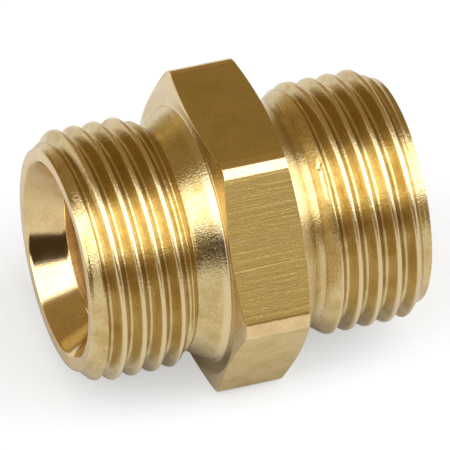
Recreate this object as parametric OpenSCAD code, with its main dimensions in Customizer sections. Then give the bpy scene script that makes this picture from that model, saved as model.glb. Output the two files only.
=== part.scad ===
// Hex nipple for pipework: one turned brass body with two equal male parallel pipe threads,
// a hexagon to hold it by, and a coned seat in each end for a flat-faced or coned tail piece.
// Closed rings of the thread's form, one pitch apart, stand in for the helical thread.
// The nipple lies along X. The origin is on its axis, at the middle of the hexagon, and +Z is
// square to the hexagon's top flat, so that the part lies on its opposite flat.

/* [Overall] */
// overall length, end face to end face
total_length = 23.2; // [16:0.1:60]
// width of the hexagon across its flats
hex_across_flats = 19; // [15:0.5:36]
// length of the hexagon along the nipple
hex_length = 5; // [3:0.1:16]

/* [Thread] */
// outside diameter over the thread crests
thread_diameter = 16.662; // [13:0.001:22]
// distance from one crest to the next
thread_pitch = 1.337; // [0.9:0.001:2.4]
// angle between the two sides of a thread
thread_angle = 55; // [45:1:70]
// how far the lead chamfer goes down below the crests at the end face
lead_chamfer_depth = 1.18; // [0.9:0.01:2]
// angle of the lead chamfer to the axis
lead_chamfer_angle = 45; // [20:5:70]

/* [Bore and seats] */
// wall between the passage and the thread's root
wall_thickness = 2.275; // [1.6:0.005:5]
// width of the flat rim between the lead chamfer and the coned seat
rim_width = 0.6; // [0.2:0.05:0.9]
// full angle of the coned seat
seat_angle = 60; // [40:1:90]

/* [Neck beside the hexagon] */
// plain length between the hexagon's flare and the thread
neck_length = 0.2; // [0.1:0.05:3]
// depth of the neck below the thread root
neck_relief = 0.07; // [0.02:0.01:0.4]
// length of the ramp from the neck up to the full thread diameter
ramp_length = 1; // [0.3:0.05:3]
// length of the conical flare from the hexagon's face down to the neck
flare_length = 1.7; // [0.3:0.05:4]
// how far inside the flats the flare meets the hexagon's face
flare_inset = 1; // [0.4:0.05:2]

/* [Hexagon edges] */
// how far inside the flats the hexagon's end chamfer starts
hex_face_inset = 0.2; // [0.1:0.05:0.8]
// slope of the end chamfer, measured from the end face
hex_chamfer_angle = 15; // [5:1:45]
// how far the six long edges are turned down from their sharp corners
hex_corner_cut = 0.23; // [0.05:0.01:1]

/* [Hidden] */

half_length = total_length / 2;
half_hex = hex_length / 2;
thread_radius = thread_diameter / 2;

// Whitworth form: a sharp triangle with a sixth of its height taken off the crest and the root
triangle_height = thread_pitch / (2 * tan(thread_angle / 2));
thread_depth = triangle_height * 2 / 3;
root_radius = thread_radius - thread_depth;
root_flat = thread_pitch / 6;

neck_radius = root_radius - neck_relief;
end_radius = thread_radius - lead_chamfer_depth;
lead_length = lead_chamfer_depth / tan(lead_chamfer_angle);
seat_radius = end_radius - rim_width;
bore_radius = root_radius - wall_thickness;
seat_depth = (seat_radius - bore_radius) / tan(seat_angle / 2);

hex_face_radius = hex_across_flats / 2 - hex_face_inset;
flare_radius = hex_across_flats / 2 - flare_inset;
hex_sharp_radius = hex_across_flats / (2 * cos(30));
hex_corner_radius = hex_sharp_radius - hex_corner_cut;
chamfer_drop = (hex_corner_radius - hex_face_radius) * tan(hex_chamfer_angle);

flare_end = half_hex + flare_length;
neck_end = flare_end + neck_length;
ramp_end = neck_end + ramp_length;

// how far the thread's cutter reaches past the crests
spill = 0.1;
smooth = 96;

function lies_along_x() = [0, 90, 0];

// the profile from the hexagon's end face outwards, on the +X side
function half_profile() = [
    [0, half_hex - 0.2],
    [flare_radius, half_hex - 0.2],
    [flare_radius, half_hex],
    [neck_radius, flare_end],
    [neck_radius, neck_end],
    [thread_radius, ramp_end],
    [thread_radius, half_length - lead_length],
    [end_radius, half_length],
    [0, half_length]
];

// one blank end, before its thread is cut
module shank() {
    rotate(lies_along_x())
        rotate_extrude($fn = smooth)
            polygon(half_profile());
}

// the round blank that the hexagon's long edges and end chamfers are turned to
module hex_blank() {
    rotate_extrude($fn = smooth)
        polygon([
            [0, -half_hex],
            [hex_face_radius, -half_hex],
            [hex_corner_radius, chamfer_drop - half_hex],
            [hex_corner_radius, half_hex - chamfer_drop],
            [hex_face_radius, half_hex],
            [0, half_hex]
        ]);
}

// six flats, the long edges turned down a little and both end faces chamfered round the corners
module hexagon() {
    rotate(lies_along_x())
        intersection() {
            rotate([0, 0, 30])
                cylinder(r = hex_sharp_radius, h = hex_length, center = true, $fn = 6);
            hex_blank();
        }
}

// a coned seat and its share of the passage, open past the end face
module seat() {
    over = 1;
    rotate(lies_along_x())
        rotate_extrude($fn = smooth)
            polygon([
                [0, half_length - seat_depth],
                [bore_radius, half_length - seat_depth],
                [seat_radius + over * tan(seat_angle / 2), half_length + over],
                [0, half_length + over]
            ]);
}

module passage() {
    rotate(lies_along_x())
        cylinder(r = bore_radius, h = total_length, center = true, $fn = smooth);
}

// one ring of the thread's form, its middle at x along the axis
module ring_groove(x) {
    wide = root_flat / 2 + (thread_depth + spill) * tan(thread_angle / 2);
    rotate(lies_along_x())
        rotate_extrude($fn = smooth)
            polygon([
                [root_radius, x - root_flat / 2],
                [root_radius, x + root_flat / 2],
                [thread_radius + spill, x + wide],
                [thread_radius + spill, x - wide]
            ]);
}

// the thread of one end, cut from the neck out past the end face
module thread_rings() {
    count = ceil((half_length - neck_end) / thread_pitch);
    for (i = [0:count - 1])
        ring_groove(neck_end + root_flat / 2 + i * thread_pitch);
}

module nipple_body() {
    color([0.80, 0.64, 0.36])
        difference() {
            union() {
                hexagon();
                shank();
                mirror([1, 0, 0]) shank();
            }
            passage();
            seat();
            mirror([1, 0, 0]) seat();
            thread_rings();
            mirror([1, 0, 0]) thread_rings();
        }
}

nipple_body();
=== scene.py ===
# %% [markdown]
# # A brass hex nipple
# The object is one turned piece of brass: a hexagon in the middle, a male pipe thread on each
# side of it, and a coned seat at each end of the drilled passage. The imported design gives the
# sizes and the place. Here the same body is made again as one fine, closed surface, because a
# thread lives from its rounded crests and roots, and those need more detail than a design does.

# %% Load the frame
import math

import bpy
import numpy as np
from mathutils import Matrix, Vector


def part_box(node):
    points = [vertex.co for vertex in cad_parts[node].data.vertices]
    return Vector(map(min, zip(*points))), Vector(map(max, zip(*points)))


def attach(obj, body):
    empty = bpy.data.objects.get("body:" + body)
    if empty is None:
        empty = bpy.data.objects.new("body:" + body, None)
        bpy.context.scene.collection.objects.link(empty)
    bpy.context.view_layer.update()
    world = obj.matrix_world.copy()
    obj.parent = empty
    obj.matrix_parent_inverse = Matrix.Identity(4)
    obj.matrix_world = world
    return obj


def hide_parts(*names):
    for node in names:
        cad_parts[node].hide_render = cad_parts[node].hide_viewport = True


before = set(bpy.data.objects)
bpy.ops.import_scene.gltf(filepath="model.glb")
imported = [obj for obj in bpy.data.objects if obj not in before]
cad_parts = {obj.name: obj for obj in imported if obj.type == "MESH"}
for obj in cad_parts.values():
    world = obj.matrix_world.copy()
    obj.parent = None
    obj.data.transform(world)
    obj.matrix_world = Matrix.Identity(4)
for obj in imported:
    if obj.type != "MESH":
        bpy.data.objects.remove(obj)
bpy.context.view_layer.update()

body_low, body_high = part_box("nipple_body")
print("the design's body reaches from", body_low, "to", body_high)

# %% [markdown]
# ## The camera
# It looks down at the nipple from the left front, from far away and through a long lens, so
# that lines that are parallel on the object stay almost parallel in the view. A camera points
# along its own -Z axis, so its turned axes are worked out from the direction to the object.

# %% Camera
CAMERA_AZIMUTH = math.radians(-110.2)
CAMERA_ELEVATION = math.radians(39.94)
CAMERA_ROLL = math.radians(1.54)
CAMERA_DISTANCE = 0.7536
CAMERA_LENS = 928.0
CAMERA_SENSOR = 36.0


def direction(azimuth, elevation):
    """A unit vector: east by the azimuth's cosine, north by its sine, up by the elevation's."""
    flat = math.cos(elevation)
    return Vector((flat * math.cos(azimuth), flat * math.sin(azimuth), math.sin(elevation)))


def aimed(place, target, roll):
    """The matrix of a camera at a place: -Z towards the target, +Y upwards, turned by the roll."""
    turn = (target - place).to_track_quat("-Z", "Y").to_matrix().to_4x4()
    return Matrix.Translation(place) @ turn @ Matrix.Rotation(roll, 4, "Z")


camera_data = bpy.data.cameras.new("camera")
camera_data.sensor_width = CAMERA_SENSOR
camera_data.lens = CAMERA_LENS
camera_data.clip_end = 10.0
camera = bpy.data.objects.new("camera", camera_data)
bpy.context.scene.collection.objects.link(camera)
camera_place = direction(CAMERA_AZIMUTH, CAMERA_ELEVATION) * CAMERA_DISTANCE
camera.matrix_world = aimed(camera_place, Vector((0, 0, 0)), CAMERA_ROLL)
bpy.context.scene.camera = camera
print("the camera stands", CAMERA_DISTANCE, "m away, behind a", CAMERA_LENS, "mm lens")

# %% [markdown]
# ## The sizes
# All lengths are in millimetres while the shape is worked out, as on a workshop drawing, and
# become metres in the mesh. The thread is a G 3/8 parallel pipe thread: 19 turns to the inch,
# with a 55 degree form whose crests and roots are rounded by the same small radius. Values in
# braces belong to the left side (-1) and the right side (1) of the hexagon.

# %% Sizes
MILLIMETRE = 0.001
HALF_LENGTH = body_high[0] / MILLIMETRE
HALF_FLATS = body_high[2] / MILLIMETRE
# the hexagon: rounded bar corners, the two faces, and the ring where each chamfer's cone starts
CORNER_ROUND = 1.46
HEX_FACE = {-1: 2.60, 1: 2.44}
HEX_RING_RADIUS = 9.35
HEX_CHAMFER_SLOPE = math.tan(math.radians(15))
# the flare beside each face, and the neck that it runs down to
FLARE_RADIUS = 8.46
FLARE_SLOPE = 0.64
NECK_RADIUS = {-1: 7.36, 1: 7.48}
NECK_SIDE = 4.36
# the thread
PITCH = 1.337
THREAD_RADIUS = 8.331
FLANK_ANGLE = math.radians(27.5)
THREAD_DEPTH = 0.640327 * PITCH
THREAD_ROUND = 0.137329 * PITCH
# the ends: foot of the lead chamfer's cone, mouth of the seat, and passage
END_RADIUS = 7.15
SEAT_RADIUS = 6.55
BORE_RADIUS = 5.2
SEAT_SLOPE = math.tan(math.radians(30))
SEAT_DEPTH = (SEAT_RADIUS - BORE_RADIUS) / SEAT_SLOPE
print("half length", HALF_LENGTH, "half across flats", HALF_FLATS, "thread depth", THREAD_DEPTH)

# %% [markdown]
# ## Columns round the axis
# Every ring of the surface uses the same angles. They are packed closely near the six corners
# of the hexagon and lie wider on the flats: across one flat, the angle from its middle is
# 30 degrees times u plus a sine that slows it down as u comes to the corner at -1 or 1.

# %% Angles
COLUMNS_PER_FLAT = 40
CROWDING = 0.82


def column_angles():
    """Angles from 0 to a full turn, both ends included: six flats, each crowded at its corners."""
    u = np.linspace(-1.0, 1.0, COLUMNS_PER_FLAT, endpoint=False)
    offset = np.radians(30.0) * (u + CROWDING * np.sin(np.pi * u) / np.pi)
    middles = np.radians(30.0 + 60.0 * np.arange(6))
    return np.append((middles[:, None] + offset).ravel(), 2.0 * np.pi)


ANGLES = column_angles()
print(len(ANGLES) - 1, "columns, the closest", np.degrees(np.diff(ANGLES).min()), "degrees apart")

# %% [markdown]
# ## Soft corners
# Where two turned faces meet, the tool leaves no perfect corner. The smaller of two heights
# cuts a corner, and a parabola over a short width rounds it, which is cheaper than a bevel and
# works on whole arrays.

# %% Soft smaller and larger
def soft_min(a, b, width):
    """The smaller of two heights, with the corner between them rounded over about the width."""
    mix = np.clip(0.5 + 0.5 * (b - a) / width, 0.0, 1.0)
    return b + (a - b) * mix - width * mix * (1.0 - mix)


def soft_max(a, b, width):
    """The larger of two heights, rounded in the same way."""
    return -soft_min(-a, -b, width)


print("a corner of 1 and 1 is rounded to", float(soft_min(1.0, 1.0, 0.1)), "over a width of 0.1")

# %% [markdown]
# ## The thread's form
# A thread can be cut with a boolean, swept along a helix, or written as a height: at every
# place along and round the axis the surface has one radius. The last way gives one clean grid,
# and the lead chamfer, the neck and the run-out are then only the smallest of several heights.

# %% Thread form
def thread_form(across):
    """Radius at a distance from a crest: a round crest, a straight flank, then a round root.
    The rounds are circle arcs that meet the flank where their slope is the flank's."""
    w = np.abs((across / PITCH + 0.5) % 1.0 - 0.5) * PITCH
    arc = THREAD_ROUND * math.cos(FLANK_ANGLE)
    to_root = PITCH / 2.0 - w
    crest = THREAD_RADIUS - THREAD_ROUND + np.sqrt(np.maximum(THREAD_ROUND**2 - w**2, 0.0))
    root_level = THREAD_RADIUS - THREAD_DEPTH + THREAD_ROUND
    root = root_level - np.sqrt(np.maximum(THREAD_ROUND**2 - to_root**2, 0.0))
    flank_top = THREAD_RADIUS - THREAD_ROUND * (1.0 - math.sin(FLANK_ANGLE))
    flank = flank_top - (w - arc) / math.tan(FLANK_ANGLE)
    return np.where(w < arc, crest, np.where(to_root < arc, root, flank))


print("crest at", float(thread_form(0.0)), "and root at", float(thread_form(PITCH / 2.0)))

# %% [markdown]
# ## A torn edge
# Where the threading tool first bites, soft brass tears a little instead of being cut clean.
# A scratch in a bump map would vanish in a side view, so this one is a real groove: a bell
# curve across, a wandering middle, and a window that ends it softly.

# %% Torn edge
TEAR_PLACE = 4.94
TEAR_WIDTH = 0.075
TEAR_DEPTH = 0.10
TEAR_ANGLES = (math.radians(116.0), math.radians(137.0))
TEAR_FADE = 0.02
TEAR_WANDER = ((0.045, 53.0, 0.0), (0.03, 97.0, 1.0))


def torn_edge(x, angle):
    """The depth of the groove at x: a bell curve round a middle that wanders with the angle by
    a few sines, times a window that is 0 outside the two angles."""
    middle = TEAR_PLACE
    for swing, beats, start in TEAR_WANDER:
        middle = middle + swing * np.sin(beats * angle + start)
    inside = (angle - TEAR_ANGLES[0]) * (TEAR_ANGLES[1] - angle)
    window = np.clip(inside / TEAR_FADE, 0.0, 1.0)
    return TEAR_DEPTH * window * np.exp(-(((x - middle) / TEAR_WIDTH) ** 2))


print("the tear is", TEAR_DEPTH, "mm deep and lies", TEAR_PLACE, "mm right of the middle")

# %% [markdown]
# ## One threaded end
# The crest line of a helix moves along the axis by one pitch in a turn. The radius of the end
# is the thread's, but never more than the lead chamfer's cone at the tip or the ramp at the
# neck, and never less than the neck's radius. That floor also holds at the tip, so the chamfer
# stops there before it comes to its foot. The right thread also runs in gently: its first
# grooves are shallower.

# %% Threaded end
CREST_START = {-1: -10.307, 1: 5.790}
RAMP_START = {-1: 4.38, 1: 4.24}
RAMP_SLOPE = {-1: 0.80, 1: 0.78}
RUN_IN_START = 4.62
RUN_IN_LENGTH = 1.0
CHAMFER_SOFT = 0.05
RAMP_SOFT = 0.06
NECK_SOFT = 0.10


def shank_radius(x, angle, side):
    """The radius of one threaded end at x: the smallest of the thread, the lead chamfer's cone
    and the ramp that leads down to the neck, but never less than the neck. Side is -1 for the
    left end and 1 for the right."""
    across = x - CREST_START[side] - PITCH * angle / (2.0 * np.pi)
    radius = thread_form(across)
    out = side * x
    if side > 0:
        groove_middle = x - ((across / PITCH) % 1.0 - 0.5) * PITCH
        share = np.clip((groove_middle - RUN_IN_START) / RUN_IN_LENGTH, 0.0, 1.0)
        radius = np.minimum(THREAD_RADIUS, radius + (1.0 - share) * THREAD_DEPTH)
    ramp = NECK_RADIUS[side] + (out - RAMP_START[side]) * RAMP_SLOPE[side]
    chamfer = END_RADIUS + (HALF_LENGTH - out)
    radius = soft_min(radius, chamfer, CHAMFER_SOFT)
    radius = soft_min(radius, ramp, RAMP_SOFT)
    radius = soft_max(radius, NECK_RADIUS[side], NECK_SOFT)
    return radius - torn_edge(x, angle) if side > 0 else radius


print("at its tip the right end has a radius of", float(shank_radius(HALF_LENGTH, 0.0, 1)), "mm")

# %% [markdown]
# ## Rows that follow the helix
# If the rows of the grid ran straight round the axis, each crest would cross them at a slant
# and its highlight would flicker. So the rows climb with the thread: one row is one line along
# the helix, and after a full turn it meets the row one pitch further on. Rows that would run
# past the ends are held at the end's ring, where they fall together and are welded.

# %% Helical grid
ROWS_PER_PITCH = 20
ROUND_WEIGHT = 1.5
FORM_SAMPLES = 2001


def form_stations():
    """Distances from a crest, one pitch long, even along the form's own length, with the
    rounds counted one and a half times so that they get more rows."""
    w = np.linspace(0.0, PITCH, FORM_SAMPLES)
    r = thread_form(w)
    step = np.hypot(np.diff(w), np.diff(r))
    mid = np.abs((w[:-1] / PITCH + 0.5) % 1.0 - 0.5) * PITCH
    arc = THREAD_ROUND * math.cos(FLANK_ANGLE)
    step = step * np.where((mid < arc) | (mid > PITCH / 2.0 - arc), ROUND_WEIGHT, 1.0)
    along = np.append(0.0, np.cumsum(step))
    return np.interp(np.arange(ROWS_PER_PITCH) / ROWS_PER_PITCH * along[-1], along, w)


def threaded_rows(side, inner, outer):
    """x and radius of the helical rows of one end between two distances from the middle."""
    low, high = (-outer, -inner) if side < 0 else (inner, outer)
    start = CREST_START[side]
    first = math.floor((low - start) / PITCH) - 1
    last = math.ceil((high - start) / PITCH) + 1
    turns = np.arange(first, last)
    rows = (start + turns[:, None] * PITCH + form_stations()).ravel()
    x = np.clip(rows[:, None] + PITCH * ANGLES / (2.0 * np.pi), low, high)
    return x, shank_radius(x, ANGLES[None, :], side)


print("rows stand at", np.round(form_stations(), 3), "mm from a crest")

# %% [markdown]
# ## The hexagon's outline
# Hexagon bar is drawn through a die, which leaves its long corners rounded, and the ends of
# the flats are chamfered on the lathe, which leaves the curved line where a cone meets a flat.
# Both are heights again, so the whole hexagon needs no boolean and no bevel.

# %% Hexagon outline
def hexagon_radius(angle):
    """Distance of the outline from the axis. On a flat it is the flat's distance over the
    cosine of the angle from its middle. On a rounded corner it is the far crossing of a ray
    with the rounding circle, whose middle lies on the corner's own ray."""
    from_corner = np.radians(30.0) - np.abs((angle % np.radians(60.0)) - np.radians(30.0))
    on_flat = HALF_FLATS / np.cos(np.radians(30.0) - from_corner)
    middle = (HALF_FLATS - CORNER_ROUND) / math.cos(math.radians(30.0))
    reach = np.maximum(CORNER_ROUND**2 - (middle * np.sin(from_corner)) ** 2, 0.0)
    rounded = middle * np.cos(from_corner) + np.sqrt(reach)
    start = math.radians(30.0) - math.atan((middle / 2.0) / HALF_FLATS)
    return np.where(from_corner < start, rounded, on_flat)


def hexagon_edge(side):
    """How far from the middle the flat and its rounded corners reach: the face's distance less
    the chamfer cone's slope times the height over the cone's inner ring."""
    return HEX_FACE[side] - (hexagon_radius(ANGLES) - HEX_RING_RADIUS) * HEX_CHAMFER_SLOPE


print("over the corners the hexagon measures", float(2.0 * hexagon_radius(ANGLES).max()), "mm")

# %% [markdown]
# ## From the hexagon down to the neck
# Beyond the chamfer each end of the hexagon has a slightly dished ring, a small step, and a
# flare that runs down to the neck. They are the same all the way round, so a plain list of
# corners, as a lathe would follow it, says it all.

# %% Face and flare
DISH_SLOPE = 0.12
STEP_X = np.array([-0.09, -0.055, -0.02, 0.03])
STEP_HEIGHT = np.array([0.11, 0.03, 0.0, -0.03])
DISH_ROWS = 5
FLARE_ROWS = 26
FOOT_SOFT = 0.22


def face_profile(side):
    """Corners of one end of the hexagon from its ring inwards, then down the flare to the neck:
    a slightly dished face, the small step at the flare's lip, and the flare with a round foot."""
    face = HEX_FACE[side]
    across = np.linspace(HEX_RING_RADIUS - 0.05, FLARE_RADIUS + 0.16, DISH_ROWS)
    dish = face - 0.01 - (HEX_RING_RADIUS - across) * DISH_SLOPE
    x = np.linspace(face + 0.10, NECK_SIDE, FLARE_ROWS)
    cone = FLARE_RADIUS - (x - face) * FLARE_SLOPE
    foot = soft_max(cone, np.full_like(x, NECK_RADIUS[side]), FOOT_SOFT)
    step_x, step_r = face + STEP_X, FLARE_RADIUS + STEP_HEIGHT
    return np.concatenate([dish, step_x, x]), np.concatenate([across, step_r, foot])


print("a face has", len(face_profile(1)[0]), "corners down to the neck")

# %% [markdown]
# ## Half of the hexagon
# The rows start at the middle, run along the flat, turn over a broken edge, climb down the
# chamfer and follow the face. The edge is a row of small steps instead of a bevel, so that the
# thin bright line on it keeps the same width all the way round.

# %% Half hexagon
FLAT_ROWS = 8
FLAT_STOP = 0.09
EDGE_INSET = np.array([0.06, 0.035, 0.015, 0.0, -0.006])[:, None]
EDGE_DROP = np.array([0.0, 0.001, 0.004, 0.014, 0.034])[:, None]
CHAMFER_SHARES = np.array([0.12, 0.3, 0.5, 0.7, 0.86, 0.95, 1.0])[:, None]
BAR_ROWS = FLAT_ROWS + len(EDGE_INSET)


def hexagon_half(side):
    """Rows from the hexagon's middle over the flat's end and the chamfer down to the neck."""
    outline = hexagon_radius(ANGLES)
    edge = hexagon_edge(side)
    ones = np.ones_like(ANGLES)
    flat_x = (edge - FLAT_STOP) * np.linspace(0.0, 1.0, FLAT_ROWS)[:, None]
    flat_r = outline * np.ones((FLAT_ROWS, 1))
    chamfer_top = outline - EDGE_DROP[-1]
    chamfer_r = chamfer_top + (HEX_RING_RADIUS - chamfer_top) * CHAMFER_SHARES
    chamfer_x = HEX_FACE[side] - (chamfer_r - HEX_RING_RADIUS) * HEX_CHAMFER_SLOPE
    face_x, face_r = face_profile(side)
    x = np.concatenate([flat_x, edge - EDGE_INSET, chamfer_x, face_x[:, None] * ones])
    radius = np.concatenate([flat_r, outline - EDGE_DROP, chamfer_r, face_r[:, None] * ones])
    return side * x, radius


print("half of the hexagon has", len(hexagon_half(1)[0]), "rows")

# %% [markdown]
# ## Seats and passage
# Each end has a flat rim, then a 60 degree cone that runs down to the drilled passage. The
# profile is a short list of corners, and each corner is broken by a small bevel so that it
# catches the light as a real turned edge does.

# %% Inside
TIP_STEP = 0.01
RIM_BREAK = 0.03
SEAT_ROWS = 21
STRETCH_STEPS = (1, 3, 2, 12, 2, 12)


def inside_rows(side):
    """Rows from the end face's outer edge over the rim, down the cone, to half of the passage.
    Between two corners the rows are evenly spaced on a straight line."""
    far = HALF_LENGTH - SEAT_DEPTH
    corners = [
        (HALF_LENGTH - TIP_STEP, END_RADIUS),
        (HALF_LENGTH, END_RADIUS - RIM_BREAK),
        (HALF_LENGTH, SEAT_RADIUS + RIM_BREAK),
        (HALF_LENGTH - 0.02, SEAT_RADIUS - 0.01),
        (far + 0.04, BORE_RADIUS + 0.04 * SEAT_SLOPE),
        (far - 0.04, BORE_RADIUS),
        (0.0, BORE_RADIUS),
    ]
    xs = [corners[0][0]]
    rs = [corners[0][1]]
    for (xa, ra), (xb, rb), steps in zip(corners[:-1], corners[1:], STRETCH_STEPS):
        t = np.arange(1, steps + 1) / steps
        xs.extend(xa + (xb - xa) * t)
        rs.extend(ra + (rb - ra) * t)
    rows = np.ones_like(ANGLES)
    return side * np.array(xs)[:, None] * rows, np.array(rs)[:, None] * rows


print("the inside of one end has", len(inside_rows(1)[0]), "rows,", SEAT_ROWS, "down to the passage")

# %% [markdown]
# ## Grids that are welded
# Every stretch is a grid of points. A point is the radius turned by its angle, and four
# neighbours make a face. The grids share their border rows, so welding the points that lie
# together closes the whole skin.

# %% Grids and welding
WELD_STEP = 1e-6
WELD_SHIFT = 0.12345678


def grid_points(x, radius):
    """Points from rows of x and radius: along X by x, across by the angle's cosine and sine."""
    return np.stack([x, radius * np.cos(ANGLES), radius * np.sin(ANGLES)], axis=-1)


def grid_faces(rows, columns, first):
    """Corner numbers of a grid's quads, counted from the grid's first point."""
    j, i = np.meshgrid(np.arange(rows - 1), np.arange(columns - 1), indexing="ij")
    a = (first + j * columns + i).ravel()
    return np.stack([a, a + 1, a + columns + 1, a + columns], axis=-1)


def weld(points, faces):
    """Points within a millionth of a millimetre become one, and the faces use the one. The
    shift keeps round numbers away from the border between two steps."""
    keys = np.round((points + WELD_SHIFT) / WELD_STEP).astype(np.int64)
    _, first, back = np.unique(keys, axis=0, return_index=True, return_inverse=True)
    return points[first], back.ravel()[faces]


print("one grid row has", grid_faces(2, len(ANGLES), 0).shape[0], "quads")

# %% [markdown]
# ## From arrays to a mesh
# Rows that fell together leave quads with repeated corners: some shrink to triangles, some to
# nothing. They are sorted out on the whole array at once, and the rest goes into the mesh with
# foreach_set, which takes flat arrays and is far quicker than adding faces one by one.

# %% Skin mesh
def skin_mesh(name, stretches):
    """A mesh from stretches of (x rows, radius rows, material number). The material is one
    number, or one for each column. A corner that repeats its neighbour is dropped, and a face
    with fewer than three corners left, or with a fold, is dropped too."""
    points, faces, materials, count = [], [], [], 0
    for x, radius, material in stretches:
        grid = grid_points(x, radius)
        points.append(grid.reshape(-1, 3))
        faces.append(grid_faces(grid.shape[0], grid.shape[1], count))
        shape = (grid.shape[0] - 1, grid.shape[1] - 1)
        materials.append(np.broadcast_to(material, shape).ravel())
        count += grid.shape[0] * grid.shape[1]
    points, faces = weld(np.concatenate(points), np.concatenate(faces))
    materials = np.concatenate(materials)
    fresh = faces != np.roll(faces, -1, axis=1)
    sides = fresh.sum(axis=1)
    kept = (sides >= 3) & (faces[:, 0] != faces[:, 2]) & (faces[:, 1] != faces[:, 3])
    faces, fresh, sides, materials = faces[kept], fresh[kept], sides[kept], materials[kept]
    used, corners = np.unique(faces[fresh], return_inverse=True)
    mesh = bpy.data.meshes.new(name)
    mesh.vertices.add(len(used))
    mesh.vertices.foreach_set("co", (points[used] * MILLIMETRE).ravel())
    mesh.loops.add(len(corners))
    mesh.loops.foreach_set("vertex_index", corners.ravel().astype(np.int32))
    mesh.polygons.add(len(sides))
    starts = np.append(0, np.cumsum(sides)[:-1])
    mesh.polygons.foreach_set("loop_start", starts.astype(np.int32))
    mesh.polygons.foreach_set("material_index", materials.astype(np.int32))
    mesh.polygons.foreach_set("use_smooth", np.ones(len(sides), dtype=bool))
    mesh.update(calc_edges=True)
    mesh.validate()
    return mesh


TURNED, DRAWN, SEAT, DRILLED = 0, 1, 2, 3
print("material numbers:", {"turned": TURNED, "drawn": DRAWN, "seat": SEAT, "drilled": DRILLED})

# %% [markdown]
# ## One closed body
# Both ends give a threaded stretch, the two parts of a hexagon half, the seat and the passage.
# The bar's flats keep their drawn finish and its rounded corners are smoother, because hands
# and boxes rub them. All else was turned on the lathe.

# %% Body
SMOOTH_CORNER = 4.0
COLUMN_MIDDLES = (ANGLES[1:] + ANGLES[:-1]) / 2.0
FROM_CORNER = 30.0 - np.abs((np.degrees(COLUMN_MIDDLES) % 60.0) - 30.0)
BAR_MATERIALS = np.where(FROM_CORNER < SMOOTH_CORNER, SEAT, DRAWN)


def nipple_stretches():
    """All stretches, each with its material, wound so that the faces point outwards. Rows that
    run away from the middle on the left side are turned round. The last row of the hexagon's
    half and the first row of the inside take the threaded end's radius, so that they join."""
    stretches = []
    for side in (-1, 1):
        x, radius = threaded_rows(side, NECK_SIDE, HALF_LENGTH - TIP_STEP)
        stretches.append((x, radius, TURNED))
        x, radius = hexagon_half(side)
        x[-1], radius[-1] = side * NECK_SIDE, shank_radius(side * NECK_SIDE, ANGLES, side)
        if side < 0:
            x, radius = x[::-1], radius[::-1]
        cut = BAR_ROWS if side > 0 else len(x) - BAR_ROWS
        for part, is_bar in ((slice(0, cut), side > 0), (slice(cut - 1, None), side < 0)):
            stretches.append((x[part], radius[part], BAR_MATERIALS if is_bar else TURNED))
        x, radius = inside_rows(side)
        radius[0] = shank_radius(x[0], ANGLES, side)
        turn = -1 if side < 0 else 1
        parts = ((slice(0, SEAT_ROWS), SEAT), (slice(SEAT_ROWS - 1, None), DRILLED))
        for part, material in parts:
            stretches.append((x[part][::turn], radius[part][::turn], material))
    return stretches


body_mesh = skin_mesh("nipple", nipple_stretches())
nipple = bpy.data.objects.new("nipple", body_mesh)
bpy.context.scene.collection.objects.link(nipple)
print(len(body_mesh.vertices), "points and", len(body_mesh.polygons), "faces in the skin")

# %% [markdown]
# ## Is it closed?
# A skin with a hole or with faces that look inwards shades wrongly and can't be printed. Each
# edge must lie between two faces, and the enclosed volume must be positive and close to the
# design's 3001 cubic millimetres.

# %% Measure the body
def open_edges(mesh):
    """How many edges don't lie between exactly two faces: none on a closed skin."""
    edge = np.empty(len(mesh.loops), dtype=np.int32)
    mesh.loops.foreach_get("edge_index", edge)
    return int((np.bincount(edge, minlength=len(mesh.edges)) != 2).sum())


def enclosed_volume(mesh):
    """Sum over the triangles of a sixth of the triple product: positive if faces look outwards."""
    mesh.calc_loop_triangles()
    tris = np.empty(len(mesh.loop_triangles) * 3, dtype=np.int32)
    mesh.loop_triangles.foreach_get("vertices", tris)
    co = np.empty(len(mesh.vertices) * 3)
    mesh.vertices.foreach_get("co", co)
    a, b, c = co.reshape(-1, 3)[tris.reshape(-1, 3)].transpose(1, 0, 2)
    return float(np.einsum("ij,ij->i", a, np.cross(b, c)).sum() / 6.0)


volume = enclosed_volume(body_mesh) / MILLIMETRE**3
print(open_edges(body_mesh), "open edges,", volume, "cubic millimetres")
print(len(body_mesh.loop_triangles), "triangles")

# %% [markdown]
# ## Building blocks for the finishes
# Each finish is put together from a few shared node groups. A group takes the place on the
# object and a few named numbers, gives back one value, and the materials decide what that
# value does. The helpers below add one node, set its plain inputs and join the others.

# %% Node helpers
def add_node(tree, kind, settings=(), inputs=()):
    """One new node of a kind, with its settings, and each input either joined or set."""
    node = tree.nodes.new(kind)
    for name, value in dict(settings).items():
        setattr(node, name, value)
    for key, value in dict(inputs).items():
        if isinstance(value, bpy.types.NodeSocket):
            tree.links.new(value, node.inputs[key])
        else:
            node.inputs[key].default_value = value
    return node


def maths(tree, operation, first, second=0.0):
    """The result of one sum on two values or sockets."""
    inputs = {0: first, 1: second}
    return add_node(tree, "ShaderNodeMath", {"operation": operation}, inputs).outputs[0]


def vector_maths(tree, operation, first, second):
    """The vector that comes from one sum on two vectors."""
    inputs = {0: first, 1: second}
    return add_node(tree, "ShaderNodeVectorMath", {"operation": operation}, inputs).outputs[0]


def soft_step(tree, value, start, end):
    """0 before start, 1 past end, and a smooth rise between them."""
    inputs = {"Value": value, "From Min": start, "From Max": end}
    settings = {"interpolation_type": "SMOOTHSTEP"}
    return add_node(tree, "ShaderNodeMapRange", settings, inputs).outputs["Result"]


def noise(tree, vector, scale, detail, roughness=0.55):
    """Noise between about 0.3 and 0.7 at a place."""
    inputs = {"Vector": vector, "Scale": scale, "Detail": detail, "Roughness": roughness}
    return add_node(tree, "ShaderNodeTexNoise", {}, inputs).outputs["Fac"]


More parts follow.
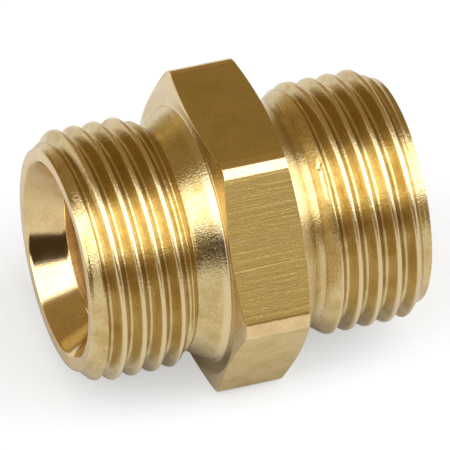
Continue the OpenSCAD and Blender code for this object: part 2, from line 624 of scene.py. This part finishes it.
def blend(tree, factor, first, second):
    """A colour between two colours."""
    inputs = {"Factor": factor, "A": first, "B": second}
    return add_node(tree, "ShaderNodeMix", {"data_type": "RGBA"}, inputs).outputs["Result"]


print("six helpers for nodes are ready")

# %% [markdown]
# ## Groups with names on their plugs
# A node group is a small machine that several materials share. Its named inputs let each
# material set its own numbers, and its one output is a plain value, never a shader, so that it
# can be baked. Lengths inside are in millimetres, which makes the numbers easy to picture.

# %% Group helpers
def new_group(name, **defaults):
    """An empty group with an output called Value and one named input for each default. Gives
    the tree, the object's place in millimetres, and the node that holds the inputs."""
    tree = bpy.data.node_groups.new(name, "ShaderNodeTree")
    tree.interface.new_socket("Value", in_out="OUTPUT", socket_type="NodeSocketFloat")
    for label, value in defaults.items():
        socket = tree.interface.new_socket(label, in_out="INPUT", socket_type="NodeSocketFloat")
        socket.default_value = value
    given = tree.nodes.new("NodeGroupInput").outputs
    place = add_node(tree, "ShaderNodeTexCoord").outputs["Object"]
    inputs = {0: place, "Scale": 1.0 / MILLIMETRE}
    scaled = add_node(tree, "ShaderNodeVectorMath", {"operation": "SCALE"}, inputs)
    return tree, scaled.outputs[0], given


def close_group(tree, value):
    """Sends a value to the group's output."""
    result = tree.nodes.new("NodeGroupOutput")
    tree.links.new(value, result.inputs["Value"])
    print("group", tree.name, "uses", len(tree.nodes), "nodes")


def use_group(tree, group, **values):
    """The value that a group gives inside a material, with the material's own inputs."""
    node = tree.nodes.new("ShaderNodeGroup")
    node.node_tree = group
    for label, value in values.items():
        node.inputs[label].default_value = value
    return node.outputs["Value"]


# %% [markdown]
# ## Turning marks
# A lathe tool leaves fine rings. They depend only on how far along the axis and how far from
# it a place is, so noise is read at those two numbers and hardly changes round the axis.

# %% Turning marks
FINE_SHARE = 0.6
turning_marks, millimetres, given = new_group("turning_marks", Coarse=5.0, Fine=17.0)
parts = add_node(turning_marks, "ShaderNodeSeparateXYZ", {}, {0: millimetres}).outputs
y_squared = maths(turning_marks, "MULTIPLY", parts["Y"], parts["Y"])
z_squared = maths(turning_marks, "MULTIPLY", parts["Z"], parts["Z"])
radius = maths(turning_marks, "SQRT", maths(turning_marks, "ADD", y_squared, z_squared))
ring_inputs = {"X": parts["X"], "Y": radius, "Z": 0.0}
ring_place = add_node(turning_marks, "ShaderNodeCombineXYZ", {}, ring_inputs).outputs[0]
drift = vector_maths(turning_marks, "MULTIPLY", millimetres, (0.006, 0.006, 0.006))
ring_place = vector_maths(turning_marks, "ADD", ring_place, drift)
coarse = noise(turning_marks, ring_place, given["Coarse"], 2.0)
fine = noise(turning_marks, ring_place, given["Fine"], 2.0)
rings = maths(turning_marks, "ADD", coarse, maths(turning_marks, "MULTIPLY", fine, FINE_SHARE))
close_group(turning_marks, rings)

# %% [markdown]
# ## Draw lines
# The die that the bar was pulled through leaves lines that run along it. Noise that is squeezed
# across the bar and stretched along it gives them: a small number along means long lines.

# %% Draw lines
draw_lines, millimetres, given = new_group("draw_lines", Along=0.14, Across=4.2)
squeeze_inputs = {"X": given["Along"], "Y": given["Across"], "Z": given["Across"]}
squeeze = add_node(draw_lines, "ShaderNodeCombineXYZ", {}, squeeze_inputs).outputs[0]
squeezed = vector_maths(draw_lines, "MULTIPLY", millimetres, squeeze)
close_group(draw_lines, noise(draw_lines, squeezed, 1.0, 4.0, 0.6))

# %% [markdown]
# ## Scores
# A few deeper scratches lie along the bar at set places on one flat. Each is a narrow pulse of
# the distance across that flat, which is the place's share along a direction in the flat.

# %% Scores
SCORES = [  # place across the flat, half width, strength
    (1.15, 0.055, 1.0),
    (2.55, 0.06, 0.35),
    (2.95, 0.04, 0.25),
    (4.22, 0.07, 0.6),
    (-2.2, 0.05, 0.4),
    (-3.1, 0.04, 0.2),
]
ACROSS_FLAT = (0.010, -0.5, -0.866)
score_lines, millimetres, given = new_group("score_lines", Strength=1.0)
share_inputs = {0: millimetres, 1: ACROSS_FLAT}
share = add_node(score_lines, "ShaderNodeVectorMath", {"operation": "DOT_PRODUCT"}, share_inputs)
total = 0.0
for place, width, strength in SCORES:
    offset = maths(score_lines, "SUBTRACT", share.outputs["Value"], place)
    pulse = soft_step(score_lines, maths(score_lines, "ABSOLUTE", offset), width, 0.0)
    total = maths(score_lines, "ADD", total, maths(score_lines, "MULTIPLY", pulse, strength))
close_group(score_lines, maths(score_lines, "MULTIPLY", total, given["Strength"]))

# %% [markdown]
# ## Tarnish and grain
# Bare brass never keeps one colour. Broad clouds of tarnish make it browner in places, and a
# fine grain breaks up the reflections.

# %% Tarnish and grain
tarnish, millimetres, given = new_group("tarnish", Scale=0.55, Start=0.36, Full=0.70)
clouds = noise(tarnish, millimetres, given["Scale"], 5.0, 0.62)
close_group(tarnish, soft_step(tarnish, clouds, given["Start"], given["Full"]))

grain, millimetres, given = new_group("grain", Scale=7.5)
close_group(grain, noise(grain, millimetres, given["Scale"], 2.0, 0.7))

# %% [markdown]
# ## Worn crests
# The thread's crests are the first to be rubbed bright. A crest is where the distance from the
# axis is largest, so a soft step of that distance finds it, and some noise makes it uneven.

# %% Worn crests
crests, millimetres, given = new_group("thread_crests", Start=8.24, Full=8.40, Uneven=0.18)
off_axis = vector_maths(crests, "MULTIPLY", millimetres, (0.0, 1.0, 1.0))
height = add_node(crests, "ShaderNodeVectorMath", {"operation": "LENGTH"}, {0: off_axis})
uneven = maths(crests, "MULTIPLY", noise(crests, millimetres, 2.2, 3.0), given["Uneven"])
rubbed = maths(crests, "ADD", height.outputs["Value"], uneven)
close_group(crests, soft_step(crests, rubbed, given["Start"], given["Full"]))

# %% [markdown]
# ## One brass, four finishes
# The turned faces are bright with rings, the drawn flats are satin with lines along them, the
# seats are the smoothest, and the drilled passage is the roughest. One function builds all
# four, so that they stay one metal: tarnish and grain mix the bright and the dull colour and
# change the roughness, and two bumps in a row give the tool's marks and the grain.

# %% Brass
GRAIN_CONTRAST = 2.6


def brass(name, bright, dull, roughness, spread, marks, marks_depth, grain_depth):
    """A brass between a bright and a dull colour. Marks is the group that gives the fine relief,
    and the depths are in metres."""
    material = bpy.data.materials.new(name)
    material.use_nodes = True
    tree = material.node_tree
    shader = tree.nodes["Principled BSDF"]
    shader.inputs["Metallic"].default_value = 1.0
    cloud = use_group(tree, tarnish, Scale=0.55, Start=0.36, Full=0.70)
    speck = use_group(tree, grain, Scale=7.5)
    swing = maths(tree, "MULTIPLY", maths(tree, "SUBTRACT", speck, 0.5), GRAIN_CONTRAST)
    tone = maths(tree, "ADD", cloud, swing)
    tree.links.new(blend(tree, tone, bright, dull), shader.inputs["Base Color"])
    rough = maths(tree, "ADD", roughness, maths(tree, "MULTIPLY", cloud, spread))
    tree.links.new(rough, shader.inputs["Roughness"])
    relief = {"Strength": 1.0, "Distance": marks_depth, "Height": use_group(tree, marks)}
    bump = add_node(tree, "ShaderNodeBump", {"name": "marks"}, relief)
    relief = {
        "Strength": 1.0, "Distance": grain_depth, "Height": speck, "Normal": bump.outputs[0]
    }
    grain_bump = add_node(tree, "ShaderNodeBump", {"name": "grain"}, relief)
    tree.links.new(grain_bump.outputs[0], shader.inputs["Normal"])
    return material


def tint(material, mask, colour):
    """Turns a material's base colour towards another colour where the mask is 1."""
    tree = material.node_tree
    base = tree.nodes["Principled BSDF"].inputs["Base Color"]
    tree.links.new(blend(tree, mask, base.links[0].from_socket, colour), base)


print("the brass recipe is ready")

# %% [markdown]
# ## Turned and drawn brass
# The turned finish gets paler crests. The drawn finish gets the scores, once as dark lines and
# once as shallow scratches under the draw lines.

# %% Turned and drawn
BRIGHT = (0.65, 0.53, 0.285, 1.0)
DULL = (0.51, 0.375, 0.15, 1.0)
RUBBED = (0.70, 0.57, 0.34, 1.0)
SCORE_COLOUR = (0.24, 0.15, 0.05, 1.0)
SCORE_DEPTH = 5.0e-6

turned = brass(
    "turned_brass", BRIGHT, DULL, roughness=0.13, spread=0.12, marks=turning_marks,
    marks_depth=8.0e-6, grain_depth=1.8e-5)
tree = turned.node_tree
tint(turned, use_group(tree, crests, Start=8.24, Full=8.40, Uneven=0.18), RUBBED)

drawn = brass(
    "drawn_brass", bright=(0.60, 0.46, 0.185, 1.0), dull=(0.49, 0.36, 0.12, 1.0),
    roughness=0.30, spread=0.06, marks=draw_lines, marks_depth=1.6e-5, grain_depth=1.4e-5)
tree = drawn.node_tree
scores = use_group(tree, score_lines, Strength=1.0)
relief = {"Strength": 1.0, "Distance": SCORE_DEPTH, "Height": scores}
score_bump = add_node(tree, "ShaderNodeBump", {"name": "scores", "invert": True}, relief)
tree.links.new(score_bump.outputs[0], tree.nodes["marks"].inputs["Normal"])
tint(drawn, maths(tree, "MULTIPLY", scores, 0.6), SCORE_COLOUR)
print("turned brass has", len(turned.node_tree.nodes), "nodes, drawn", len(tree.nodes))

# %% [markdown]
# ## Seat and passage
# The seats seal, so they are the smoothest and palest. The drill leaves the passage rough, and
# its redder colour is painted light: it stands in for the warm light that bounces inside it.

# %% Seat and drilled
seat = brass(
    "seat_brass", bright=(0.77, 0.60, 0.335, 1.0), dull=(0.66, 0.49, 0.25, 1.0),
    roughness=0.10, spread=0.06, marks=turning_marks, marks_depth=4.0e-6, grain_depth=3.0e-6)
# the passage's redder colours are painted light, standing in for warm light bouncing inside it
drilled = brass(
    "drilled_brass", bright=(0.74, 0.50, 0.21, 1.0), dull=(0.58, 0.35, 0.12, 1.0),
    roughness=0.42, spread=0.08, marks=turning_marks, marks_depth=1.2e-5, grain_depth=6.0e-6)
for finish in (turned, drawn, seat, drilled):
    body_mesh.materials.append(finish)
print("finishes:", [material.name for material in body_mesh.materials])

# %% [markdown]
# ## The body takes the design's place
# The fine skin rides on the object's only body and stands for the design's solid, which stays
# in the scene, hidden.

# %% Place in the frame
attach(nipple, "root")
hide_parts("nipple_body")
print(nipple.name, "stands for nipple_body")

# %% [markdown]
# ## The table
# A plain white table. The nipple rests on one flat of its hexagon, as it would on a bench. The
# brass mirrors a plain pale sheet. To the camera the same sheet glows a little, which lifts
# its shadows, as a lamp under a glass table would.

# %% Table
TABLE_REACH = 3.0
MIRRORED_WHITE = (0.65, 0.65, 0.65, 1.0)
SEEN_WHITE = (0.42, 0.44, 0.47, 1.0)
SEEN_GLOW = 0.47
PURE_WHITE = (1.0, 1.0, 1.0, 1.0)

low = body_low[2]
corners = [(-1, -1), (1, -1), (1, 1), (-1, 1)]
table_points = [(TABLE_REACH * x, TABLE_REACH * y, low) for x, y in corners]
floor_mesh = bpy.data.meshes.new("table")
floor_mesh.from_pydata(table_points, [], [(0, 1, 2, 3)])
floor = bpy.data.objects.new("table", floor_mesh)
bpy.context.scene.collection.objects.link(floor)

floor_paint = bpy.data.materials.new("white_table")
floor_paint.use_nodes = True
tree = floor_paint.node_tree
matt = {"Base Color": MIRRORED_WHITE, "Roughness": 1.0, "Specular IOR Level": 0.0}
mirrored = tree.nodes["Principled BSDF"]
for label, value in matt.items():
    mirrored.inputs[label].default_value = value
glowing = {"Base Color": SEEN_WHITE, "Emission Strength": SEEN_GLOW, "Emission Color": PURE_WHITE}
seen = add_node(tree, "ShaderNodeBsdfPrincipled", {}, {**matt, **glowing})
ray = add_node(tree, "ShaderNodeLightPath").outputs["Is Camera Ray"]
either = {0: ray, 1: mirrored.outputs[0], 2: seen.outputs[0]}
surface = add_node(tree, "ShaderNodeMixShader", {}, either).outputs[0]
tree.links.new(surface, tree.nodes["Material Output"].inputs["Surface"])
floor_mesh.materials.append(floor_paint)
print("the table lies at", low)

# %% [markdown]
# ## The light tent
# Polished brass is a mirror, so its looks are mostly the looks of the room. Area lights could
# do this, but a light tent is one big curved sheet, and that is easier to draw straight into
# the world: every direction is tested against two planes. Above the lower plane and in front
# of the rear one shines the white sheet; behind it and below it is the dim, warm room. One
# corner of the tent is dark, and one place in the room glows. The camera itself sees white.

# %% Light tent
SHEET = 3.0
ROOM = (0.35, 0.24, 0.10, 1.0)
DARK_CORNER = (0.06, 0.038, 0.02, 1.0)
GLOW = (0.66, 0.50, 0.22, 1.0)

world = bpy.data.worlds.new("light_tent")
bpy.context.scene.world = world
world.use_nodes = True
tent = world.node_tree
tent.nodes.clear()
where = add_node(tent, "ShaderNodeTexCoord").outputs["Generated"]


def past_plane(axis, start, end):
    """A soft step that goes from 0 to 1 while the direction's share along the axis goes from
    start to end."""
    settings = {"operation": "DOT_PRODUCT"}
    share = add_node(tent, "ShaderNodeVectorMath", settings, {0: where, 1: axis})
    return soft_step(tent, share.outputs["Value"], start, end)


in_front = past_plane((0.0, -0.876, -0.482), -0.45, -0.33)
above = past_plane((0.0, 0.584, 0.811), -0.12, 0.0)
in_corner = past_plane((-0.70, -0.70, 0.14), 0.885, 0.94)
in_glow = past_plane((-0.25, 0.93, 0.27), 0.975, 0.993)
on_sheet = maths(tent, "MULTIPLY", in_front, above)
on_sheet = maths(tent, "MULTIPLY", on_sheet, maths(tent, "SUBTRACT", 1.0, in_corner))
colour = blend(tent, in_corner, ROOM, DARK_CORNER)
colour = blend(tent, in_glow, colour, GLOW)
colour = blend(tent, on_sheet, colour, (SHEET, SHEET, SHEET, 1.0))
room = add_node(tent, "ShaderNodeBackground", {}, {"Color": colour})
backdrop = add_node(tent, "ShaderNodeBackground", {}, {"Color": PURE_WHITE})
ray = add_node(tent, "ShaderNodeLightPath").outputs["Is Camera Ray"]
either = {0: ray, 1: room.outputs[0], 2: backdrop.outputs[0]}
surface = add_node(tent, "ShaderNodeMixShader", {}, either).outputs[0]
add_node(tent, "ShaderNodeOutputWorld", {}, {"Surface": surface})
bpy.context.scene.view_settings.view_transform = "Standard"
print("the tent's sheet is", SHEET, "times white")
